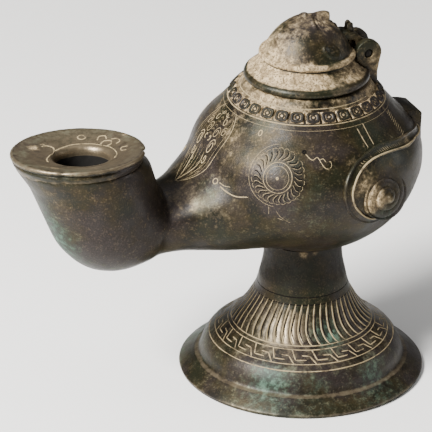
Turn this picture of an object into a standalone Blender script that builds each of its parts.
"""Bronze oil lamp: cast reservoir with a raised nozzle, soldered trumpet foot, hinged lid with a head on it.

Metres, +Z up, nozzle towards -X, the handle's stump towards +X, alike on both sides of y = 0.
The foot stands on z = 0 and the whole lamp is centred in X.
"""

import math

import bmesh
import bpy
from mathutils import Matrix

# Reach from the axis of foot and lid to the nozzle's tip and to the handle's stump
NOZZLE_REACH = 0.1032
STUMP_REACH = 0.0402

# Walls, and the gap between pieces that touch
WALL = 0.0024
GAP = 0.0003

# Foot
FOOT_RADIUS = 0.0419
FOOT_HEIGHT = 0.0480
NECK_RADIUS = 0.0132
FOOT_TOP_THICKNESS = 0.004

# The axis of foot and lid stands where the whole lamp comes out centred in X
AXIS_X = (NOZZLE_REACH - max(STUMP_REACH, FOOT_RADIUS)) / 2

# Reservoir
BODY_RADIUS = 0.0394
BODY_HEIGHT = 0.0583
MOUTH_RADIUS = 0.0180
BODY_BOTTOM = FOOT_HEIGHT + GAP
BODY_TOP = BODY_BOTTOM + BODY_HEIGHT

# Nozzle
DISC_RADIUS = 0.0223
DISC_THICKNESS = 0.0034
DISC_TOP = 0.0926
DISC_ROLL = math.radians(-5.0)
WICK_HOLE_RADIUS = 0.0093
DISC_X = AXIS_X - NOZZLE_REACH + DISC_RADIUS
WICK_HOLE_X = DISC_X + 0.0014

# Handle's stump
STUMP_HALF_WIDTH = 0.0062
STUMP_TOP = 0.0902
STUMP_BOTTOM = 0.0678

# Volutes on both flanks
BOSS_RADIUS = 0.0086
BOSS_HEIGHT = 0.0042
BOSS_ANGLE = math.radians(68.5)
BOSS_Z = 0.0760
BAND_RADIUS = 0.0017

# Lid
LID_RADIUS = 0.0211
LID_BOTTOM = BODY_TOP + GAP
LID_RIM_HEIGHT = 0.0034
FILLET_RADIUS = 0.0156
FILLET_Z = LID_BOTTOM + 0.0088
HEAD_HEIGHT = 0.0130
LID_WALL = 0.0020
PLUG_RADIUS = MOUTH_RADIUS - 0.0008
PLUG_DEPTH = 0.0032

# Hinge
HINGE_X = AXIS_X + LID_RADIUS - 0.0016
HINGE_Z = LID_BOTTOM + 0.0076
EAR_RADIUS = 0.0047
EAR_INNER_Y = 0.0039
EAR_THICKNESS = 0.0027
PIN_RADIUS = 0.0013
KNUCKLE_RADIUS = 0.0031
STRAP_THICKNESS = 0.0022

# Profiles as shares of the sizes above: (radius, height)
FOOT_OUTSIDE = [
    (1.000, 1.000),
    (1.004, 0.917),
    (1.034, 0.833),
    (1.083, 0.771),
    (1.136, 0.708),
    (1.170, 0.667),
    (1.227, 0.621),
    (1.333, 0.562),
    (1.515, 0.479),
    (1.712, 0.413),
    (1.826, 0.379),
    (2.045, 0.331),
    (2.242, 0.292),
    (2.394, 0.258),
    (2.500, 0.221),
    (2.568, 0.175),
    (2.621, 0.133),
    (2.720, 0.113),
    (2.780, 0.096),
    (2.871, 0.071),
]
RESERVOIR_OUTSIDE = [
    (0.525, 1.000),
    (0.538, 0.991),
    (0.553, 0.971),
    (0.579, 0.949),
    (0.660, 0.899),
    (0.721, 0.852),
    (0.787, 0.801),
    (0.873, 0.741),
    (0.939, 0.681),
    (0.987, 0.612),
    (1.000, 0.544),
    (0.992, 0.475),
    (0.962, 0.407),
    (0.898, 0.304),
    (0.792, 0.201),
    (0.665, 0.123),
    (0.528, 0.063),
    (0.411, 0.026),
]
# Sections of the nozzle's arm: x from the axis, z, lean in degrees, half width, half height up, half height down
ARM_SECTIONS = [
    (-0.0100, 0.0715, 0.0, 0.0310, 0.0220, 0.0208),
    (-0.0220, 0.0710, 0.0, 0.0290, 0.0210, 0.0203),
    (-0.0320, 0.0700, 0.0, 0.0252, 0.0196, 0.0190),
    (-0.0400, 0.0685, 0.0, 0.0203, 0.0134, 0.0170),
    (-0.0465, 0.0668, 0.0, 0.0164, 0.0094, 0.0148),
    (-0.0520, 0.0650, 0.0, 0.0146, 0.0092, 0.0130),
    (-0.0573, 0.0626, 20.0, 0.0150, 0.0136, 0.0136),
    (-0.0620, 0.0622, 32.0, 0.0160, 0.0166, 0.0161),
    (-0.0664, 0.0640, 43.0, 0.0172, 0.0185, 0.0182),
    (-0.0709, 0.0690, 57.0, 0.0186, 0.0194, 0.0194),
    (-0.0742, 0.0765, 72.0, 0.0199, 0.0196, 0.0196),
    (-0.0770, 0.0837, 82.0, 0.0209, 0.0203, 0.0203),
]
# The volute's band as turns round the axis from the back and heights, in degrees and metres
VOLUTE_PATH = [
    (13.0, 0.0886),
    (24.0, 0.0886),
    (38.0, 0.0896),
    (52.0, 0.0906),
    (66.0, 0.0912),
    (78.0, 0.0902),
    (86.0, 0.0876),
    (91.0, 0.0830),
    (92.0, 0.0785),
    (90.0, 0.0740),
    (85.5, 0.0704),
    (79.0, 0.0682),
    (71.0, 0.0672),
]
# The head's dome over the fillet, as shares of the fillet's radius and the head's height
DOME = [
    (0.0, 1.000),
    (0.200, 0.940),
    (0.400, 0.825),
    (0.620, 0.630),
    (0.785, 0.400),
    (0.905, 0.170),
    (0.955, 0.062),
]
# Features of the face: name, x and y from the lid's axis, depth of the middle under the dome, half sizes, segments
FACE = [
    ("brow", 0.0000, 0.0000, 0.0012, (0.0016, 0.0066, 0.0018), 12),
    ("nose", 0.0034, 0.0000, 0.0012, (0.0040, 0.0015, 0.0022), 12),
    ("nose tip", 0.0060, 0.0000, 0.0008, (0.0016, 0.0021, 0.0021), 12),
    ("near eye", 0.0024, -0.0043, 0.0006, (0.0011, 0.0021, 0.0011), 12),
    ("far eye", 0.0024, 0.0043, 0.0006, (0.0011, 0.0021, 0.0011), 12),
    ("mouth", 0.0090, 0.0000, 0.0008, (0.0012, 0.0030, 0.0016), 12),
    ("near ear of the head", 0.0030, -0.0122, 0.0012, (0.0026, 0.0014, 0.0022), 10),
    ("far ear of the head", 0.0030, 0.0122, 0.0012, (0.0026, 0.0014, 0.0022), 10),
    ("curl", -0.0010, 0.0000, 0.0004, (0.0011, 0.0012, 0.0013), 8),
]


def shown(collection, objects):
    """Puts finished objects into the lamp's collection."""
    for item in objects:
        collection.objects.link(item)


def as_cutters(collection, objects):
    """Puts building shapes out of sight in the cutters' collection."""
    for item in objects:
        collection.objects.link(item)
        item.hide_render = True
        item.display_type = "WIRE"


def round_shading(mesh):
    for face in mesh.polygons:
        face.use_smooth = True


def turned(name, profile, steps, x=0.0):
    """A shape turned round Z from a profile in the XZ plane that runs down its outer side."""
    mesh = bpy.data.meshes.new(name)
    shape = bmesh.new()
    points = [shape.verts.new((r, 0.0, z)) for r, z in profile]
    for first, second in zip(points, points[1:]):
        shape.edges.new((first, second))
    if profile[0][0] > 0.0:
        shape.edges.new((points[-1], points[0]))
    shape.to_mesh(mesh)
    shape.free()
    item = bpy.data.objects.new(name, mesh)
    item.location.x = x
    screw = item.modifiers.new("Turn", "SCREW")
    screw.steps = steps
    screw.render_steps = steps
    screw.use_merge_vertices = True
    screw.merge_threshold = 0.00001
    screw.use_smooth_shade = True
    return item


def lofted(name, rings):
    """A closed skin over rings of equal count, with flat ends."""
    mesh = bpy.data.meshes.new(name)
    shape = bmesh.new()
    rows = [[shape.verts.new(point) for point in ring] for ring in rings]
    count = len(rows[0])
    for low, high in zip(rows, rows[1:]):
        for i in range(count):
            j = (i + 1) % count
            shape.faces.new((low[i], low[j], high[j], high[i]))
    shape.faces.new(list(reversed(rows[0])))
    shape.faces.new(rows[-1])
    bmesh.ops.recalc_face_normals(shape, faces=shape.faces)
    shape.to_mesh(mesh)
    shape.free()
    round_shading(mesh)
    return bpy.data.objects.new(name, mesh)


def arm_rings(inset, count, rows):
    """Rings of the nozzle's arm, drawn in by inset all round."""
    rings = []
    for x, z, lean, width, up, down in rows:
        angle = math.radians(lean)
        ring = []
        for i in range(count):
            turn = 2 * math.pi * i / count
            side = math.cos(turn) * (width - inset)
            rise = math.sin(turn)
            rise *= (up if rise > 0 else down) - inset
            ring.append((AXIS_X + x + rise * math.sin(angle), side, z + rise * math.cos(angle)))
        rings.append(ring)
    return rings


def disc_ring(z, radius, count):
    """A ring across the nozzle's mouth, rolled with the disc and started at the side as the arm's rings are."""
    ring = []
    for i in range(count):
        turn = 2 * math.pi * i / count
        side = radius * math.cos(turn)
        low = z - DISC_TOP
        y = side * math.cos(DISC_ROLL) - low * math.sin(DISC_ROLL)
        rise = side * math.sin(DISC_ROLL) + low * math.cos(DISC_ROLL)
        ring.append((DISC_X + radius * math.sin(turn), y, DISC_TOP + rise))
    return ring


def tilted_with_disc(item):
    """Rolls a turned shape, drawn with the disc's top at z = 0, into the nozzle's mouth."""
    item.location.z = DISC_TOP
    item.rotation_euler.x = DISC_ROLL
    return item


def prism(name, outline, y_low, y_high):
    """An outline in the XZ plane drawn out along Y."""
    mesh = bpy.data.meshes.new(name)
    shape = bmesh.new()
    near = [shape.verts.new((x, y_low, z)) for x, z in outline]
    shape.faces.new(near)
    drawn = bmesh.ops.extrude_face_region(shape, geom=shape.faces[:])
    moved = [part for part in drawn["geom"] if isinstance(part, bmesh.types.BMVert)]
    bmesh.ops.translate(shape, verts=moved, vec=(0.0, y_high - y_low, 0.0))
    bmesh.ops.recalc_face_normals(shape, faces=shape.faces)
    shape.to_mesh(mesh)
    shape.free()
    return bpy.data.objects.new(name, mesh)


def rod(name, x, z, radius, length, count):
    """A round rod along Y, centred on y = 0."""
    outline = []
    for i in range(count):
        turn = 2 * math.pi * (i + 0.5) / count
        outline.append((x + radius * math.cos(turn), z + radius * math.sin(turn)))
    return prism(name, outline, -length / 2, length / 2)


def ball(name, centre, radii, count=16):
    """An egg-shaped lump."""
    mesh = bpy.data.meshes.new(name)
    shape = bmesh.new()
    bmesh.ops.create_uvsphere(shape, u_segments=count, v_segments=count // 2, radius=1.0)
    # A quarter of a step keeps its corners off the lid's own corners
    quarter = Matrix.Rotation(math.pi / 2 / count, 3, "Z")
    bmesh.ops.rotate(shape, matrix=quarter, verts=shape.verts)
    bmesh.ops.scale(shape, vec=radii, verts=shape.verts)
    shape.to_mesh(mesh)
    shape.free()
    round_shading(mesh)
    item = bpy.data.objects.new(name, mesh)
    item.location = centre
    return item


def tube(name, points, radius, scene_collection):
    """A round bar swept along points, made into a plain mesh."""
    curve = bpy.data.curves.new(name, "CURVE")
    curve.dimensions = "3D"
    curve.bevel_depth = radius
    curve.bevel_resolution = 1
    curve.use_fill_caps = True
    line = curve.splines.new("POLY")
    line.points.add(len(points) - 1)
    for spot, point in zip(line.points, points):
        spot.co = (*point, 1.0)
    draft = bpy.data.objects.new(name + " curve", curve)
    scene_collection.objects.link(draft)
    bpy.context.view_layer.update()
    graph = bpy.context.evaluated_depsgraph_get()
    mesh = bpy.data.meshes.new_from_object(draft.evaluated_get(graph))
    bpy.data.objects.remove(draft)
    shape = bmesh.new()
    shape.from_mesh(mesh)
    bmesh.ops.remove_doubles(shape, verts=shape.verts, dist=0.00002)
    bmesh.ops.recalc_face_normals(shape, faces=shape.faces)
    shape.to_mesh(mesh)
    shape.free()
    round_shading(mesh)
    return bpy.data.objects.new(name, mesh)


def combine(target, tool, operation):
    step = target.modifiers.new(operation.title() + " " + tool.name, "BOOLEAN")
    step.operation = operation
    step.solver = "EXACT"
    step.object = tool


def bronze(name, colour, roughness):
    """A plain bronze for one piece."""
    material = bpy.data.materials.new(name)
    material.use_nodes = True
    shader = material.node_tree.nodes["Principled BSDF"]
    shader.inputs["Base Color"].default_value = (*colour, 1.0)
    shader.inputs["Metallic"].default_value = 1.0
    shader.inputs["Roughness"].default_value = roughness
    return material


def reservoir_radius(z):
    """The reservoir's outside radius at a height."""
    share = (z - BODY_BOTTOM) / BODY_HEIGHT
    rows = RESERVOIR_OUTSIDE + [(NECK_RADIUS / BODY_RADIUS, 0.0)]
    for (r_high, high), (r_low, low) in zip(rows, rows[1:]):
        if low <= share <= high:
            part = (share - low) / (high - low)
            return BODY_RADIUS * (r_low + part * (r_high - r_low))
    return BODY_RADIUS * rows[0][0]


def on_reservoir(angle, z, depth, side):
    """A point on a flank, sunk by depth; the angle is measured round from the back."""
    radius = reservoir_radius(z) - depth
    return (AXIS_X + radius * math.cos(angle), side * radius * math.sin(angle), z)


def boss(name, side):
    """A stepped dome with a knob, set square on a flank."""
    profile = [
        (0.0, 1.00),
        (0.14, 0.94),
        (0.25, 0.70),
        (0.36, 0.66),
        (0.52, 0.42),
        (0.63, 0.40),
        (0.86, 0.10),
        (1.00, -0.05),
        (1.00, -0.60),
        (0.0, -0.60),
    ]
    item = turned(name, [(BOSS_RADIUS * r, BOSS_HEIGHT * z) for r, z in profile], 18)
    item.location = on_reservoir(BOSS_ANGLE, BOSS_Z, 0.0006, side)
    item.rotation_euler = (0.0, math.radians(90), side * BOSS_ANGLE)
    return item


def build_foot():
    """The trumpet foot, hollow from below."""
    outside = [(0.0, FOOT_HEIGHT)]
    for r, z in FOOT_OUTSIDE:
        outside.append((NECK_RADIUS * r, FOOT_HEIGHT * z))
    outside.append((FOOT_RADIUS - 0.0006, 0.0017))
    outside.append((FOOT_RADIUS, 0.0010))
    outside.append((FOOT_RADIUS - 0.0003, 0.0))
    flat = [(FOOT_RADIUS - 0.0040, 0.0)]
    inside = [
        (2.621, 0.046),
        (2.439, 0.108),
        (2.379, 0.196),
        (2.061, 0.269),
        (1.636, 0.362),
        (1.333, 0.471),
        (1.076, 0.588),
        (0.924, 0.700),
        (0.848, 0.812),
        (0.826, 0.875),
    ]
    hollow = [(NECK_RADIUS * r, FOOT_HEIGHT * z) for r, z in inside]
    hollow[-1] = (hollow[-1][0], FOOT_HEIGHT - FOOT_TOP_THICKNESS)
    return turned("foot", outside + flat + hollow + [(0.0, FOOT_HEIGHT - FOOT_TOP_THICKNESS)], 40, AXIS_X)


def build_body(lamp, cutters):
    """Reservoir, nozzle, stump, volutes and hinge ears cast in one, then hollowed."""
    outside = [(0.0, BODY_TOP)]
    for r, z in RESERVOIR_OUTSIDE:
        outside.append((BODY_RADIUS * r, BODY_BOTTOM + BODY_HEIGHT * z))
    outside.append((NECK_RADIUS + 0.0006, BODY_BOTTOM))
    outside.append((0.0, BODY_BOTTOM))
    body = turned("body", outside, 44, AXIS_X)

    neck_ring = disc_ring(DISC_TOP - DISC_THICKNESS * 0.7, DISC_RADIUS - 0.0007, 28)
    arm = lofted("arm outside", arm_rings(0.0, 28, ARM_SECTIONS) + [neck_ring])

    dish = [
        (0.0, -0.0040),
        (WICK_HOLE_RADIUS + 0.0004, -0.0034),
        (WICK_HOLE_RADIUS + 0.0022, -0.0021),
        (WICK_HOLE_RADIUS + 0.0060, -0.0012),
        (DISC_RADIUS - 0.0016, 0.0),
        (DISC_RADIUS - 0.0004, -0.0002),
        (DISC_RADIUS, -0.0009),
        (DISC_RADIUS - 0.0003, -0.0016),
        (DISC_RADIUS - 0.0009, -0.0019),
        (DISC_RADIUS - 0.0005, -0.0026),
        (DISC_RADIUS - 0.0012, -DISC_THICKNESS),
    ]
    dish.append((0.0, -DISC_THICKNESS - 0.0012))
    disc = tilted_with_disc(turned("nozzle disc", dish, 36, DISC_X))

    start = AXIS_X + reservoir_radius(STUMP_TOP + 0.0030) - 0.010
    stump = prism(
        "stump",
        [
            (start, STUMP_TOP + 0.0018),
            (AXIS_X + 0.0330, STUMP_TOP + 0.0018),
            (AXIS_X + 0.0368, STUMP_TOP + 0.0012),
            (AXIS_X + STUMP_REACH - 0.0004, STUMP_TOP + 0.0002),
            (AXIS_X + STUMP_REACH, STUMP_TOP - 0.0004),
            (AXIS_X + STUMP_REACH, STUMP_BOTTOM + 0.0004),
            (AXIS_X + STUMP_REACH - 0.0004, STUMP_BOTTOM),
            (start, STUMP_BOTTOM - 0.0008),
        ],
        -STUMP_HALF_WIDTH,
        STUMP_HALF_WIDTH,
    )

    foot_low = BODY_TOP - 0.0060
    outline = [
        (HINGE_X + 0.0036, foot_low),
        (HINGE_X + 0.0034, BODY_TOP + 0.0010),
        (HINGE_X + 0.0042, HINGE_Z - 0.0024),
    ]
    for i in range(11):
        turn = math.radians(-20 + 22.5 * i)
        outline.append((HINGE_X + EAR_RADIUS * math.cos(turn), HINGE_Z + EAR_RADIUS * math.sin(turn)))
    outline.append((HINGE_X + 0.0004, BODY_TOP + 0.0006))
    outline.append((HINGE_X + 0.0004, foot_low))
    far_y = EAR_INNER_Y + EAR_THICKNESS
    ears = [
        prism("near ear", outline, -far_y, -EAR_INNER_Y),
        prism("far ear", outline, EAR_INNER_Y, far_y),
    ]

    added = [arm, disc, stump, *ears]
    for side, word in ((-1, "near"), (1, "far")):
        added.append(boss(word + " boss", side))
        path = []
        for degrees, z in VOLUTE_PATH:
            path.append(on_reservoir(math.radians(degrees), z, BAND_RADIUS * 0.55, side))
        added.append(tube(word + " band", path, BAND_RADIUS, cutters))

    inner = BODY_RADIUS - WALL
    hollow = [(0.0, BODY_TOP + 0.004), (MOUTH_RADIUS, BODY_TOP + 0.004), (MOUTH_RADIUS, BODY_TOP - 0.0030)]
    for r, z in RESERVOIR_OUTSIDE[4::2]:
        hollow.append((inner * r, BODY_BOTTOM + WALL + (BODY_HEIGHT - 2 * WALL) * z))
    hollow.append((0.0, BODY_BOTTOM + WALL))
    reservoir_inside = turned("reservoir inside", hollow, 24, AXIS_X)

    disc_floor = DISC_TOP - DISC_THICKNESS - 0.0012
    end = disc_ring(disc_floor - WALL * 0.6, DISC_RADIUS - WALL - 0.0012, 16)
    arm_inside = lofted("arm inside", arm_rings(WALL, 16, ARM_SECTIONS) + [end])

    throat = [
        (0.0, 0.0020),
        (WICK_HOLE_RADIUS + 0.0020, 0.0020),
        (WICK_HOLE_RADIUS + 0.0016, -0.0018),
        (WICK_HOLE_RADIUS + 0.0003, -0.0032),
        (WICK_HOLE_RADIUS, -0.0042),
        (WICK_HOLE_RADIUS, -0.0110),
        (0.0, -0.0110),
    ]
    wick_hole = tilted_with_disc(turned("wick hole", throat, 24, WICK_HOLE_X))
    pin_hole = rod("pin hole", HINGE_X, HINGE_Z, PIN_RADIUS + GAP, 1.5 * LID_RADIUS, 16)

    taken = [reservoir_inside, arm_inside, wick_hole, pin_hole]
    as_cutters(cutters, added + taken)
    for tool in added:
        combine(body, tool, "UNION")
    for tool in taken:
        combine(body, tool, "DIFFERENCE")
    return body


def dome_z(radius):
    """Height of the head's dome at a distance from the lid's axis."""
    share = radius / FILLET_RADIUS
    for (r_in, high), (r_out, low) in zip(DOME, DOME[1:]):
        if share <= r_out:
            part = (share - r_in) / (r_out - r_in)
            return FILLET_Z + HEAD_HEIGHT * (high + part * (low - high))
    return FILLET_Z


def build_lid(cutters):
    """The lid, its rim cut back behind for the ears, with a head on top and a strap to the hinge."""
    crown = FILLET_Z + HEAD_HEIGHT
    profile = [
        *[(FILLET_RADIUS * r, FILLET_Z + HEAD_HEIGHT * z) for r, z in DOME],
        (FILLET_RADIUS - 0.0002, FILLET_Z + 0.0004),
        (FILLET_RADIUS, FILLET_Z - 0.0004),
        (FILLET_RADIUS - 0.0004, FILLET_Z - 0.0013),
        (FILLET_RADIUS + 0.0008, FILLET_Z - 0.0030),
        (LID_RADIUS - 0.0034, LID_BOTTOM + LID_RIM_HEIGHT + 0.0008),
        (LID_RADIUS - 0.0012, LID_BOTTOM + LID_RIM_HEIGHT - 0.0004),
        (LID_RADIUS - 0.0002, LID_BOTTOM + LID_RIM_HEIGHT - 0.0014),
        (LID_RADIUS, LID_BOTTOM + 0.0012),
        (LID_RADIUS - 0.0005, LID_BOTTOM + 0.0004),
        (LID_RADIUS - 0.0014, LID_BOTTOM),
        (PLUG_RADIUS, LID_BOTTOM),
        (PLUG_RADIUS - 0.0002, LID_BOTTOM - PLUG_DEPTH),
        (PLUG_RADIUS - 0.0018, LID_BOTTOM - PLUG_DEPTH),
        (PLUG_RADIUS - 0.0022, LID_BOTTOM + 0.0010),
        (FILLET_RADIUS - LID_WALL - 0.0012, FILLET_Z - 0.0010),
        (0.74 * FILLET_RADIUS, FILLET_Z + 0.0024),
        (0.42 * FILLET_RADIUS, crown - 0.0036 - LID_WALL * 0.5),
        (0.0, crown - LID_WALL - 0.0006),
    ]
    lid = turned("lid", profile, 40, AXIS_X)

    reach = EAR_INNER_Y + EAR_THICKNESS + 0.0010
    back = HINGE_X - EAR_RADIUS - 0.0004
    notch = prism(
        "rim notch",
        [
            (back, LID_BOTTOM - 0.0010),
            (back, FILLET_Z + 0.0030),
            (AXIS_X + 2 * LID_RADIUS, FILLET_Z + 0.0030),
            (AXIS_X + 2 * LID_RADIUS, LID_BOTTOM - 0.0010),
        ],
        -reach,
        reach,
    )

    knuckle_length = 2 * (EAR_INNER_Y - GAP)
    knuckle = rod("knuckle", HINGE_X, HINGE_Z, KNUCKLE_RADIUS, knuckle_length, 20)
    half = EAR_INNER_Y - GAP - 0.0004
    strap = prism(
        "strap",
        [
            (AXIS_X + 0.0070, FILLET_Z + 0.0056),
            (AXIS_X + 0.0130, FILLET_Z + 0.0060),
            (AXIS_X + 0.0165, FILLET_Z + 0.0052),
            (HINGE_X + 0.0006, HINGE_Z + KNUCKLE_RADIUS - 0.0001),
            (HINGE_X - 0.0022, HINGE_Z + 0.0006),
            (AXIS_X + 0.0158, FILLET_Z + 0.0052 - STRAP_THICKNESS * 1.1),
            (AXIS_X + 0.0128, FILLET_Z + 0.0056 - STRAP_THICKNESS * 1.1),
            (AXIS_X + 0.0070, FILLET_Z + 0.0026),
        ],
        -half,
        half,
    )
    prongs = []
    for y_low, y_high in ((-0.0017, -0.0005), (0.0005, 0.0017)):
        prongs.append(
            prism(
                "prong %d" % len(prongs),
                [
                    (AXIS_X + 0.0136, FILLET_Z + 0.0048),
                    (AXIS_X + 0.0140, FILLET_Z + 0.0080),
                    (AXIS_X + 0.0148, FILLET_Z + 0.0088),
                    (AXIS_X + 0.0157, FILLET_Z + 0.0083),
                    (AXIS_X + 0.0160, FILLET_Z + 0.0044),
                ],
                y_low,
                y_high,
            )
        )

    face = []
    for word, x, y, sink, radii, count in FACE:
        spot = (AXIS_X + x, y, dome_z(math.hypot(x, y)) - sink)
        face.append(ball(word, spot, radii, count))
    pin_hole = rod("knuckle hole", HINGE_X, HINGE_Z, PIN_RADIUS + GAP, 1.5 * LID_RADIUS, 16)
    as_cutters(cutters, [notch, knuckle, strap, *prongs, *face, pin_hole])
    combine(lid, notch, "DIFFERENCE")
    for tool in [*face, strap, knuckle, *prongs]:
        combine(lid, tool, "UNION")
    combine(lid, pin_hole, "DIFFERENCE")
    return lid


def main():
    for item in list(bpy.data.objects):
        bpy.data.objects.remove(item)
    lamp = bpy.data.collections.new("Bronze oil lamp")
    cutters = bpy.data.collections.new("Cutters")
    bpy.context.scene.collection.children.link(lamp)
    bpy.context.scene.collection.children.link(cutters)

    foot = build_foot()
    body = build_body(lamp, cutters)
    lid = build_lid(cutters)
    pin = rod("hinge_pin", HINGE_X, HINGE_Z, PIN_RADIUS, 2 * (EAR_INNER_Y + EAR_THICKNESS) - 0.0006, 16)

    shown(lamp, [foot, body, lid, pin])
    foot.data.materials.append(bronze("Foot bronze", (0.10, 0.09, 0.07), 0.45))
    body.data.materials.append(bronze("Reservoir bronze", (0.09, 0.08, 0.065), 0.45))
    lid.data.materials.append(bronze("Lid bronze", (0.22, 0.19, 0.14), 0.6))
    pin.data.materials.append(bronze("Pin bronze", (0.05, 0.045, 0.04), 0.6))


main()
